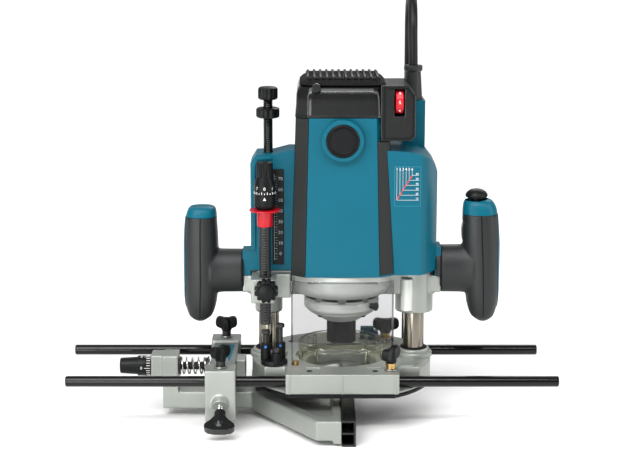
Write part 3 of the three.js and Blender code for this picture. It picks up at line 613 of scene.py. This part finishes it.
def make_spindle():
    shaft = lathe([(9.7, 60.4), (12.1, 60.4), (12.5, 61), (12.5, 78.4), (10, 78.6), (10, 95), (7, 95), (7, 262),
        (0, 262), (0, 77.4), (9.7, 77.4)], sides=48)
    add("spindle", shaft, "steel", "rotor", "armature", slot="copper")
    stack = ring(7.1, 25, 137, 196, edge=0.4)
    slots = [block(-0.8, 0.8, 20, 25.2, 136.8, 196.2).turned(30 * k) for k in range(12)]
    add("armature stack", stack, "dark steel", "rotor")
    add("armature slots", slots, "copper", "rotor")
    add("windings", lathe([(7.1, 130), (18, 130), (22, 137), (7.1, 137)])
        + lathe([(7.1, 196), (22, 196), (18, 205), (10, 213), (7.1, 213)]), "copper", "rotor")
    add("commutator bars", ring(7.1, 14.8, 214, 244), "copper", "rotor")
    add("commutator gaps", [block(-0.2, 0.2, 14.2, 14.95, 215, 243).turned(15 * k) for k in range(24)],
        "shadow", "rotor")
    blades = total([prism([(-0.7, 12), (0.7, 12), (5.5, 37), (4, 37.3)], 97, 104).turned(24 * k)
        for k in range(15)])
    add("fan blades", ring(7.3, 12.4, 96, 110) + ring(7.3, 37.8, 96.6, 98.2) + blades, "black", "rotor",
        "cooling_fan")
    slits = [block(-0.5, 0.5, 5, 10.5, 35.6, 60).turned(90 * k) for k in range(4)]
    sleeve = lathe([(6.35, 36), (8.8, 36), (9.4, 37), (9.4, 76), (6.35, 76)])
    add("collet sleeve", carved(sleeve, *slits), "steel", "rotor", "collet")
    add("collet nut body", cad("collet_nut"), "matt steel", "rotor", "collet_nut", bevel=0.8, segments=3,
        tidy=0.5)
    for node, inner in (("lower_bearing", 10.3), ("upper_bearing", 7.3)):
        verts = cad(node).verts
        low, high, outer = min(v.z for v in verts), max(v.z for v in verts), max(v.x for v in verts)
        middle = (inner + outer) / 2
        ball = [(0, -2)] + [(2 * sin(t), -2 * cos(t)) for t in (0.8, 1.57, 2.35)] + [(0, 2)]
        around = [2 * pi * k / 10 for k in range(10)]
        balls = total([lathe(ball, (middle * cos(a), middle * sin(a), (low + high) / 2), sides=10)
            for a in around])
        races = ring(inner, middle - 1.2, low, high) + ring(middle + 1.2, outer, low, high)
        add(node + "_races", races + balls, "steel", "head", node)
    add("field stack", ring(27, 40.4, 135, 200, edge=0.5), "dark steel", "head", "field_core")
    add("field coils", [lathe([(29, h), (38, h), (38, h + 7), (29, h + 7)]) for h in (127.5, 200.5)], "copper",
        "head")


def make_housing():
    add("housing shell", cad("motor_housing"), "teal", "head", "motor_housing", bevel=1.6, segments=3, tidy=0.4)
    lips = [lathe([(15.3, way * 46), (19.2, way * 46), (19, way * 49.6), (18, way * 50.6), (16.6, way * 50.6),
        (15.3, way * 49.6)], (0, 0, BRUSH_Z), "Y", 72) for way in (-1, 1)]
    add("brush port rings", lips, "teal", "head")
    for side, way in (("front", -1), ("rear", 1)):
        cap = spun([(7.8, 17 * way), (7.8, 47.5 * way), (15, 47.5 * way), (15, 50.6 * way), (14, 51.5 * way),
            (11.2, 51.5 * way), (10.6, 50.9 * way)], (0, 0, BRUSH_Z), "Y", 64)
        slot = block(-8, 8, 50.2 * way - 0.6, 50.2 * way + 1.4, BRUSH_Z - 0.8, BRUSH_Z + 0.8)
        groove = ring(12, 13, *sorted((50.1 * way, 52.4 * way)), (0, 0, BRUSH_Z), "Y", 64, 0.1)
        add(side + " brush cap body", carved(cap, slot, groove), "black", "head", side + "_brush_cap")
    for side in ("left", "right"):
        node = side + "_side_strip"
        add(side + " strip", cad(node), "strip", "head", node, bevel=0.7, tidy=0.5)
    y = -38.02
    behind = y + 0.05
    digits = [words(str(k + 1), 3.6, (49 + 2.75 * k, y, 205.2), raised=0.1) for k in range(6)]
    posts = [block(48.9 + 2.75 * k, 49.1 + 2.75 * k, y - 0.06, behind, 177 + 4.55 * k, 203.6) for k in range(6)]
    rows = [block(49 + 2.75 * k, 69, y - 0.06, behind, 176.9 + 4.55 * k, 177.12 + 4.55 * k) for k in range(6)]
    tags = [words(str(10 * (k + 1)), 2.5, (67.3, y, 178.3 + 4.55 * k), raised=0.1) for k in range(6)]
    border = [block(46.8, 70.4, y - 0.06, behind, z, z + 0.2) for z in (171.5, 207.5)]
    border += [block(x, x + 0.2, y - 0.06, behind, 171.5, 207.5) for x in (46.8, 70.4)]
    add("speed chart", digits + posts + rows + tags, "white print", "head")
    add("speed chart frame", border, "pale teal print", "head")
    dashes = []
    for k in range(6):
        a, b = k / 6 + 0.025, (k + 1) / 6 - 0.025
        p, q = [Vector((49 + 13.75 * t, 0, 177 + 22.75 * t)) for t in (a, b)]
        side = Vector((-(q - p).z, 0, (q - p).x)).normalized() * 0.5
        dashes.append(prism([(v.x, v.z) for v in (p - side, q - side, q + side, p + side)], y - 0.12, y, "Y"))
    add("speed chart line", dashes, "red print", "head")
    edge = [(-83.2, 126), (-83.2, 205.5), (-78.4, 213.2), (-64, 213.4)]
    inset = [(-64, 210.6), (-77, 210.4), (-79.4, 204.4), (-79.4, 126)]
    add("shoulder border", prism(edge + inset, -17.4, -15.5, "Y"), "teal", "head", bevel=0.7)
    add("housing foot bead", prism([(35, -48.2), (46.6, -39.4), (47.4, -38.4), (47.4, -37), (34, -47.4)], 107.4,
        109), "teal", "head", bevel=0.3)
    seams = [block(86.9, 87.8, -0.3, 0.3, 108, 196), block(-84.3, -83.4, 3.7, 4.3, 108, 206)]
    add("housing seams", seams, "shadow", "head")
    add("housing screws", [screw_head(3, (x, rear_y(z, 49), z), "Y", 1) for x in (-24, 24) for z in (122, 200)],
        "dark steel", "head")
    add("rear vents", [block(-20, 20, rear_y(z, 47.9), rear_y(z, 48.45), z, z + 3) for z in range(134, 190, 7)],
        "shadow", "head", bevel=0.15)


def make_top():
    def crown_at(z, inset):
        """The housing's outline at z, drawn in by a share of the crown's full inset."""
        return [(x * (1 - 0.1 * inset), y * (1 - 0.17 * inset), z) for x, y, _ in housing_at(z)]

    quarter = [radians(10 * k) for k in range(1, 10)]
    upright = [housing_at(z) for z in (252.3, 256, 260, 264, 268)]
    cap = loft(upright + [crown_at(269.5 + 11.5 * sin(a), 1 - cos(a)) for a in quarter])
    add("top cover shell", cap, "gloss", "head", "top_cover", bevel=2.6, segments=5, sharp=30)
    pod = prism([(33.8, 231.3), (61.5, 231.3), (65, 235), (65, 272.5), (58.5, 281), (33.8, 281)], -41, 23.5,
        "Y")
    pocket = block(46.2, 55.2, -50, -19, 253.5, 279.5)
    add("switch pod", carved(pod, pocket), "gloss", "head", bevel=1.2, segments=3, slot="gloss_black")
    add("top cover lip", loft([housing_at(252.5, 0.012), housing_at(254.5, 0.012)]), "gloss", "head", bevel=0.4)
    levels = ((0.83, 281.2), (0.77, 284), (0.73, 285.2))
    tray = loft([[(x * k, y * k, z) for x, y in HOUSING] for k, z in levels])
    add("grille tray", tray, "shadow", "head", "top_grille")
    ribs = []
    for k in range(12):
        x = -31.4 + 5.7 * k
        end = 0.0 if abs(x) < 28 else abs(x) - 28
        outline = [(-38.5 + end, 281.2), (-35.5 + end, 286.4), (-31.5 + end, 288.6), (31.5 - end, 288.6),
            (35.5 - end, 286.4), (38.5 - end, 281.2)]
        ribs.append(prism(outline, x - 1.2, x + 1.2, "X"))
    bars = [block(-33.5, 33.5, y - 1.1, y + 1.1, 282, 287.2) for y in range(-30, 31, 10)]
    add("grille ribs", ribs, "black", "head", bevel=0.7)
    add("grille bars", bars, "black", "head", bevel=0.5)
    add("grille rim", loft([crown_at(280.4, 0.86), crown_at(282.6, 1)]), "black", "head", bevel=0.5)
    add("cover screw boss", spun([(3.6, -44.6), (4.2, -43.6), (4.2, -38)], (-23.8, 0, 279.2), "Y", 32), "gloss",
        "head", bevel=0.3)
    border = [(36, 232.6), (60.5, 232.6), (63.8, 236), (63.8, 271.5), (57.5, 279.8), (36, 279.8)]
    inner = [(38, 234.2), (59.4, 234.2), (62, 237), (62, 270.6), (56.5, 278), (38, 278)]
    surround = Shape([(x, y, z) for y in (-42, -40.5) for x, z in border + inner])
    n = len(border)
    for k in range(n):
        j = (k + 1) % n
        surround.faces += [(k, j, n + j, n + k), (2 * n + k, 3 * n + k, 3 * n + j, 2 * n + j),
            (k, 2 * n + k, 2 * n + j, j), (n + k, n + j, 3 * n + j, 3 * n + k)]
    add("switch pod frame", surround, "black", "head", bevel=0.4)
    axle = (0, -33, 266.4)
    dial = spun([(10.2, 47.3), (11, 48), (11, 53.6), (10.2, 54.3)], axle, "X", 120,
        fluted(30, 0.35, 47.8, 48.4))
    add("speed wheel", dial, "red", "speed_dial", "speed_dial")
    numbers = [words(str(k + 1), 4.4, (50.8, -44.02, 266.4), raised=0.15).turned(45 * (k - 4), "X", axle)
        for k in range(6)]
    add("speed wheel numbers", numbers, "white print", "speed_dial")
    sleeve = lathe([(0, 260.2), (9.4, 260.2), (9.4, 262), (8.6, 263), (7.3, 284.5), (7.4, 286), (8.7, 287.6),
        (8.7, 291.2), (8, 292), (4.3, 292), (0, 291)], (67, 35, 0), sides=48)
    add("cord guard sleeve", sleeve, "rubber", "head", "cord_guard")


# For the left and right grip: share of the height, reach of the outer and inner edge, half the depth.
GRIP_FOOT = [(0, 136, 129, 5), (0.02, 139.6, 125.6, 9.4), (0.05, 143, 121.4, 12.4), (0.17, 146.4, 117, 16),
             (0.36, 147, 115, 17.4)]
GRIPS = {
    -1: GRIP_FOOT + [
        (0.54, 147, 114.8, 17.4), (0.72, 146.6, 114.9, 17), (0.86, 145.6, 115.7, 16), (0.93, 144.4, 116.1, 15),
        (0.97, 142.8, 116.7, 13.4), (0.99, 141.4, 117.8, 11.6), (1, 139.6, 119.6, 9)],
    1: GRIP_FOOT + [
        (0.54, 147, 113.6, 17.4), (0.66, 146.8, 112.3, 17.1), (0.86, 145, 112.1, 15.8),
        (0.93, 143.6, 112.3, 14.4), (0.97, 141.2, 113.1, 12.8), (0.99, 139, 114.3, 11), (1, 136.4, 116, 8.8)],
}


def grip_row(side, share):
    """Reach of the outer and inner edge and half the depth, at a share of the grip's height."""
    table = GRIPS[side]
    i = next(k for k in range(len(table) - 1) if share <= table[k + 1][0])
    before, a, b, after = table[max(i - 1, 0)], table[i], table[i + 1], table[min(i + 2, len(table) - 1)]
    gap = b[0] - a[0]
    t = (share - a[0]) / gap
    row = []
    for p0, p1, p2, p3 in zip(before[1:], a[1:], b[1:], after[1:]):
        low = (p2 - p0) / (b[0] - before[0]) * gap
        high = (p3 - p1) / (after[0] - a[0]) * gap
        row.append((2 * t ** 3 - 3 * t * t + 1) * p1 + (t ** 3 - 2 * t * t + t) * low
            + (3 * t * t - 2 * t ** 3) * p2 + (t ** 3 - t * t) * high)
    return row


def grip_point(side, share, angle, proud=0.0):
    outside, inside, depth = grip_row(side, min(max(share, 0), 1))
    c, s = [copysign(abs(v) ** 0.86, v) for v in (cos(angle), sin(angle))]
    reach = (outside + inside) / 2 + (outside - inside) / 2 * c + proud * cos(angle)
    return side * reach, (depth + proud) * s


def grip_loft(side, foot, crown, z0, z1, steps):
    rings = []
    for k in range(steps + 1):
        z = z0 + (z1 - z0) * k / steps
        rings.append([(*grip_point(side, (z - foot) / (crown - foot), 2 * pi * j / 48), z) for j in range(48)])
    return loft(rings)


def grip_strip(side, foot, crown, z0, z1, low, high, proud, across=8):
    """A thin band lying on the grip between two angles round it, given by functions of height's share."""
    rings, steps = [], 40
    for k in range(steps + 1):
        z = z0 + (z1 - z0) * k / steps
        share = (z - foot) / (crown - foot)
        a0, a1 = low(k / steps), high(k / steps)
        angles = [a0 + (a1 - a0) * j / across for j in range(across + 1)]
        rings.append([(*grip_point(side, share, a, proud), z) for a in angles]
            + [(*grip_point(side, share, a, -1), z) for a in reversed(angles)])
    return loft(rings)


def make_handles():
    foot = 55.6
    grips = (("left", -1, 164.8, 155.4, 124.3), ("right", 1, 171.6, 157.8, 128.5))
    for name, side, crown, seam, neck_top in grips:
        middle_z, tall = (neck_top + 83) / 2, (neck_top - 83) / 34

        def neck_ring(x, r):
            around = [2 * pi * j / 40 for j in range(40)]
            return [(x, 0.92 * r * cos(a), middle_z + tall * r * sin(a)) for a in around]

        body = grip_loft(side, foot, crown, foot, seam, 60)
        cap = grip_loft(side, foot, crown, seam + 0.3, crown, 24)
        x0, x1 = side * 92.4, side * 122
        neck = loft([neck_ring(x0 + (x1 - x0) * t, 16.8 + 0.2 * t + 1.6 * max(0, t - 0.55) ** 2 / 0.2)
            for t in (k / 12 for k in range(13))])
        if side > 0:
            bore = disc(5.4, 149, 200, (125, 0, 0))
            body = carved(body, block(108, 124, -7.3, 7.3, 131, 150), bore)
            cap = carved(cap, bore, disc(10.8, 167.5, 200, (125, 0, 0)))
        add(name + " grip rubber", body + neck, "rubber", "head", name + "_grip", voxel=0.9, relax=3)
        add(name + " grip crown", cap, "teal", "head", name + "_grip_cap", sharp=50)
        if side > 0:
            rounds = loft([neck_ring(x, 16.8) for x in (87.7, 92.5)])
            add("right neck sleeve", carved(rounds, block(80, 100, -30, 30, 60, 101.5)), "rubber", "head",
                bevel=0.4)

        def half_width(t):
            return 0.2 + 0.3 * sin(pi * t ** 0.8) + 0.1 * t

        add(name + " grip band", grip_strip(side, foot, crown, foot + 14, seam, lambda t: -half_width(t),
            half_width, 0.45), "teal", "head", sharp=50)
        for face, middle in (("front", -1.57), ("rear", 1.57)):
            line = grip_strip(side, foot, crown, foot + 1, seam, lambda t: middle - 0.022,
                lambda t: middle + 0.022, 0.06, across=2)
            add(name + " grip " + face + " seam", line, "shadow", "head")
        joint = ring(15.6, 17, 0, 1.2, axis="X", sides=48, edge=0.2).scaled(1, 0.92, tall)
        add(name + " neck ring", joint.moved(x0 - (1.2 if side > 0 else 0), 0, middle_z), "shadow", "head")
    lever = prism([(112.6, 131.6), (119, 131.4), (119, 149.6), (112.8, 149.4), (111.8, 145), (111.6, 140),
        (111.9, 135)], -6.9, 6.9, "Y")
    add("trigger lever", lever, "black", "trigger", "trigger", bevel=1.2, segments=3)
    button = spun([(5, 160), (5, 172.6), (8.6, 172.8), (10, 173.6), (10.4, 174.8), (10, 176.4), (8.4, 178.6),
        (5.6, 180.3), (2.6, 181)], (125, 0, 0))
    add("lock-on button body", button, "black", "lock_button", "lock_button")


def make_guide():
    for side, x0, x1, y in (("front", -253, 198, -ROD_Y), ("rear", -259, 192, ROD_Y)):
        add(side + " guide rod bar", disc(5, x0, x1, (0, y, ROD_Z), "X", 48, 0.8), "black steel", "guide_rods",
            "guide_rod_" + side)
    add("holder casting", cad("guide_holder"), "casting", "guide_holder", "guide_holder", voxel=0.8, relax=3,
        slot="dark_casting")
    add("holder saddle", prism([(-122.3, -41.5), (-98.7, -41.5), (-98.7, 41.5), (-122.3, 41.5)], 12, 21.9),
        "dark casting", "guide_holder", bevel=1.0)
    add("holder label", prism([(-118, 34), (-102, 34), (-104.5, -24)], 21.9, 22.1), "teal", "guide_holder")
    bolt = (GUIDE_X, -66, -7)
    add("lower bolt seat", disc(7.9, -4, 2.2, edge=0.6).turned(125, "X").moved(*bolt), "casting",
        "guide_holder")
    fan = [(3.4, 9), (4.6, 14), (8.4, 19), (13, 22.6), (14, 25.5), (13.4, 28.4), (10.5, 30.6), (5, 31.8)]
    fins = prism(fan + [(-x, z) for x, z in reversed(fan)], -3.4, 3.4, "Y")
    wing = fins + lathe([(0, 8), (5, 8), (5.4, 10), (5, 22), (4, 26), (0, 28)], sides=40)
    add("lower wing", wing.turned(125, "X").moved(*bolt), "gloss", "lower_wing_bolt", "wing_bolt_lower",
        voxel=0.6, relax=5, slot="black_plastic")
    shaft = thread(3, 0.4, 1.25, -12, 12, (0, 0, 0), sides=16)
    add("lower wing screw", shaft.turned(125, "X").moved(*bolt), "steel", "lower_wing_bolt")
    tips = total([block(-23, -1.3, *span, -29, -11.2) for span in ((-103, -86), (86, 103))])
    add("carriage casting", cad("guide_carriage") + tips, "casting", "guide_carriage", "guide_carriage",
        voxel=1.0, relax=3)
    fence = carved(block(-1, 11.5, -103, 103, FLOOR, -10.5), block(-2, 9.6, -104, -62, -32.6, -23.4),
        block(-2, 9.6, -104, -62, -21.6, -12.4), block(-2, 9.6, 62, 104, -32.6, -12.4),
        block(10.7, 12, -96, 96, -29, -16))
    add("fence body", fence, "gloss", "guide_carriage", "fence_plate", bevel=0.4, slot="black_plastic")
    add("fence screws", [screw_head(3.4, (-9.2, y, -20), "X", -1) for y in (-80, -30, 30, 80)], "steel",
        "guide_carriage")
    axle = (0, 0, ADJUSTER_Z)
    taper = spun([(6.6, -209), (7.4, -208.2), (8.4, -192.6)], axle, "X", 96, fluted(16, 0.5, -208, -193))
    collar = lathe([(0, -192.8), (9.2, -192.4), (9.6, -191.6), (9.6, -180.4), (9.2, -179.7), (0, -179.7)], axle,
        "X", 64)
    add("adjuster knob body", taper + collar, "black", "adjuster", "adjuster_knob")
    add("adjuster screw", thread(4, 0.5, 1.5, -180, -104, axle, "X"), "dark steel", "adjuster")
    ticks = [block(-183.6 if k % 5 else -185.4, -180.2, -9.85, -9.5, ADJUSTER_Z - 0.22,
        ADJUSTER_Z + 0.22).turned(14.4 * k, "X", axle) for k in range(25)]
    ticks += [words(str(k), 4, (-188.4, -9.68, ADJUSTER_Z)).turned(72 * k, "X", axle) for k in range(5)]
    add("adjuster marks", ticks, "white print", "adjuster")
    coil = []
    turns, steps = 5.5, 110
    for k in range(steps + 1):
        t = k / steps
        lead = 3 * t * t - 2 * t ** 3
        a = 2 * pi * turns * t
        coil.append((-151.4 + 27.4 * (0.65 * t + 0.35 * lead), 7.6 * cos(a), ADJUSTER_Z + 7.6 * sin(a)))
    add("adjuster spring wire", sweep(coil, 0.8, 8), "steel", "guide_holder", "adjuster_spring",
        slot="bright_steel")
    sizes = ((8.8, -152.9, 1.4), (8.8, -126.4, 1.4), (7.6, -129.6, 3))
    washers = [ring(4.4, r, x, x + w, axle, "X", 40) for r, x, w in sizes]
    add("adjuster washer", washers, "dark steel", "guide_holder")


# ---- mains lead ----

# The middle of the coil, the radius of the bends, and the height of the lead's middle where it lies.
COIL = (12, 165)
BEND = 36
LYING = FLOOR + 4.3


def lead_route():
    """Up out of the guard, over and down behind the machine, 7 1/4 turns on the floor, and out to the plug."""
    route = [(67, 35, 292), (66.9, 35, 300), (66.7, 35, 310), (66.5, 35, 319)]
    for k in range(1, 13):
        a = pi * k / 12
        route.append((66.5 + 0.4 * k / 12, 71 - BEND * cos(a), 320 + BEND * sin(a)))
    route += [(67, 108.4, 285), (67.1, 110, 240), (67.2, 111.3, 190), (67.2, 112, 130), (67.2, 112, 70),
        (67.2, 112, 28)]
    for k in range(8):
        a = pi / 2 * k / 8
        route.append((67.2, 148 - BEND * cos(a), LYING + BEND * (1 - sin(a))))
    route.append((67.25, 152, LYING))
    upper = FLOOR + 12.7
    radii = [55.25, 46.75, 38.25, 29.75]
    levels = [(r, LYING) for r in radii] + [(r, upper) for r in reversed(radii)]
    steps = 32
    for lap, leaves in enumerate([0.75, 0.75, 0.75, 0.5, 0.25, 0.25, 0.25]):
        (r, z), (next_r, next_z) = levels[lap], levels[lap + 1]
        for k in range(steps):
            t = min(1.0, max(0.0, (k / steps - leaves) / 0.25))
            ease = t * t * (3 - 2 * t)
            a = 2 * pi * k / steps
            here = r + (next_r - r) * ease
            route.append((COIL[0] + here * cos(a), COIL[1] + here * sin(a), z + (next_z - z) * ease))
    for k in range(8):
        a = pi / 2 * k / 7
        route.append((COIL[0] + radii[0] * cos(a), COIL[1] + radii[0] * sin(a), upper))
    route += [(2, 220.6, upper), (-8, 220.6, upper - 0.8), (-18, 219.6, upper - 3.6), (-28, 217, LYING + 1),
        (-38, 212, LYING + 0.1), (-49, 204.5, LYING + 0.1), (-57, 196, LYING + 0.8),
        (-61.4, 187.4, LYING + 2.6), (-62.6, 179, FLOOR + 8.4)]
    return [Vector(p) for p in route]


def smooth_line(points, step):
    """The same line with even, close points on a Catmull-Rom curve."""
    dense = []
    for i in range(len(points) - 1):
        p0, p1, p2 = points[max(i - 1, 0)], points[i], points[i + 1]
        p3 = points[min(i + 2, len(points) - 1)]
        count = max(2, int((p2 - p1).length / step))
        for k in range(count):
            t = k / count
            dense.append(0.5 * ((2 * p1) + (p2 - p0) * t + (2 * p0 - 5 * p1 + 4 * p2 - p3) * t * t
                + (3 * p1 - p0 - 3 * p2 + p3) * t ** 3))
    return dense + [points[-1]]


def make_lead():
    line = smooth_line(lead_route(), 3.0)
    tube = add("mains lead", sweep(line, 4.2, 16), "cord", None, "power_cord", "cord_coil", "cord_tail",
        sharp=60)
    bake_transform(tube)
    outline = [(-12, 22), (-17, 10), (-17.5, -8), (-14, -20), (14, -20), (17.5, -8), (17, 10), (12, 22)]
    levels = ((0.9, 0.4), (1, 2.2), (1, 15.6), (0.88, 17.8))
    body = loft([[(x * k, y if k > 0.9 else y * 0.98, z) for x, y in outline] for k, z in levels])
    boot = spun([(7.4, 20), (7.2, 24), (5.6, 36)], (0, 0, 8.4), "Y", 32)
    place = Matrix.Translation((-66.6, 150.5, FLOOR)) @ Matrix.Rotation(radians(-8), 4, "Z")
    plug = add("mains plug body", (body + boot).placed(place), "black", "base", "mains_plug", bevel=1.0,
        segments=3)
    grooves = total([block(s * 17.8 - 0.6, s * 17.8 + 0.2, y, y + 1.4, 4, 14) for s in (-1, 1)
        for y in range(-6, 10, 3)])
    ribs = add("mains plug ribs", grooves.placed(place), "black", "base", bevel=0.2)
    pins = total([spun([(1.6, -39), (2.4, -37.6), (2.4, -19)], (x, 0, 9), "Y", 24) for x in (-9.5, 9.5)])
    blades = add("mains plug pins", pins.placed(place), "steel", "base")


# ---- camera, light and floor ----

def make_camera():
    data = bpy.data.cameras.new("camera")
    data.lens = 94.8
    data.sensor_width = 36
    camera = linked("camera", data)
    camera.location = (Vector((-27.6, -1500, 444.3)) - ORIGIN) / 1000
    camera.rotation_euler = (radians(90 - 11.4), 0, 0)
    bpy.context.scene.camera = camera


def make_light(name, at, target, size, power):
    data = bpy.data.lights.new(name, "AREA")
    data.shape = "RECTANGLE"
    data.size, data.size_y = size
    data.energy = power
    lamp = linked(name, data)
    lamp.location = at
    lamp.rotation_euler = (Vector(target) - Vector(at)).to_track_quat("-Z", "Y").to_euler()


def make_studio():
    world = bpy.data.worlds.new("studio")
    world.use_nodes = True
    background = world.node_tree.nodes["Background"]
    background.inputs["Color"].default_value = (1, 1, 1, 1)
    background.inputs["Strength"].default_value = 0.25
    bpy.context.scene.world = world
    bpy.context.scene.view_settings.view_transform = "Standard"
    sun = bpy.data.lights.new("sun", "SUN")
    sun.energy = 2.65
    sun.angle = radians(50)
    linked("sun", sun).rotation_euler = (radians(38), 0, radians(-32))
    target = (0, 0, 0.17)
    make_light("left softbox", (-1.1, -0.9, 0.6), target, (0.3, 1.1), 6.5)
    make_light("right softbox", (1.2, -0.4, 0.6), target, (0.25, 1.1), 6)
    make_light("rim", (0.5, 1.3, 1.3), target, (1.2, 0.6), 8)
    make_light("strip", (0.1, -1.0, 1.15), target, (2.4, 0.04), 14)
    make_light("backdrop light", (0, 6.5, 5), (0, 7.5, 0), (18, 9), 400)
    make_light("low fill", (-0.4, -1.0, 0.12), (0.02, 0, 0.11), (0.5, 0.35), 4.5)
    mesh = bpy.data.meshes.new("floor")
    mesh.from_pydata([(-25, -25, 0), (25, -25, 0), (25, 25, 0), (-25, 25, 0)], [], [(0, 1, 2, 3)])
    mesh.materials.append(material("floor", (0.88, 0.88, 0.875), 0.6, grain=(40, 0.01), blotch=0.01))
    linked("floor", mesh)


for make in (make_camera, make_studio, make_lead, make_base, make_columns, make_guards, make_thumb_screws,
             make_turret, make_depth_stop, make_bracket, make_spindle, make_housing, make_top, make_handles,
             make_guide):
    make()
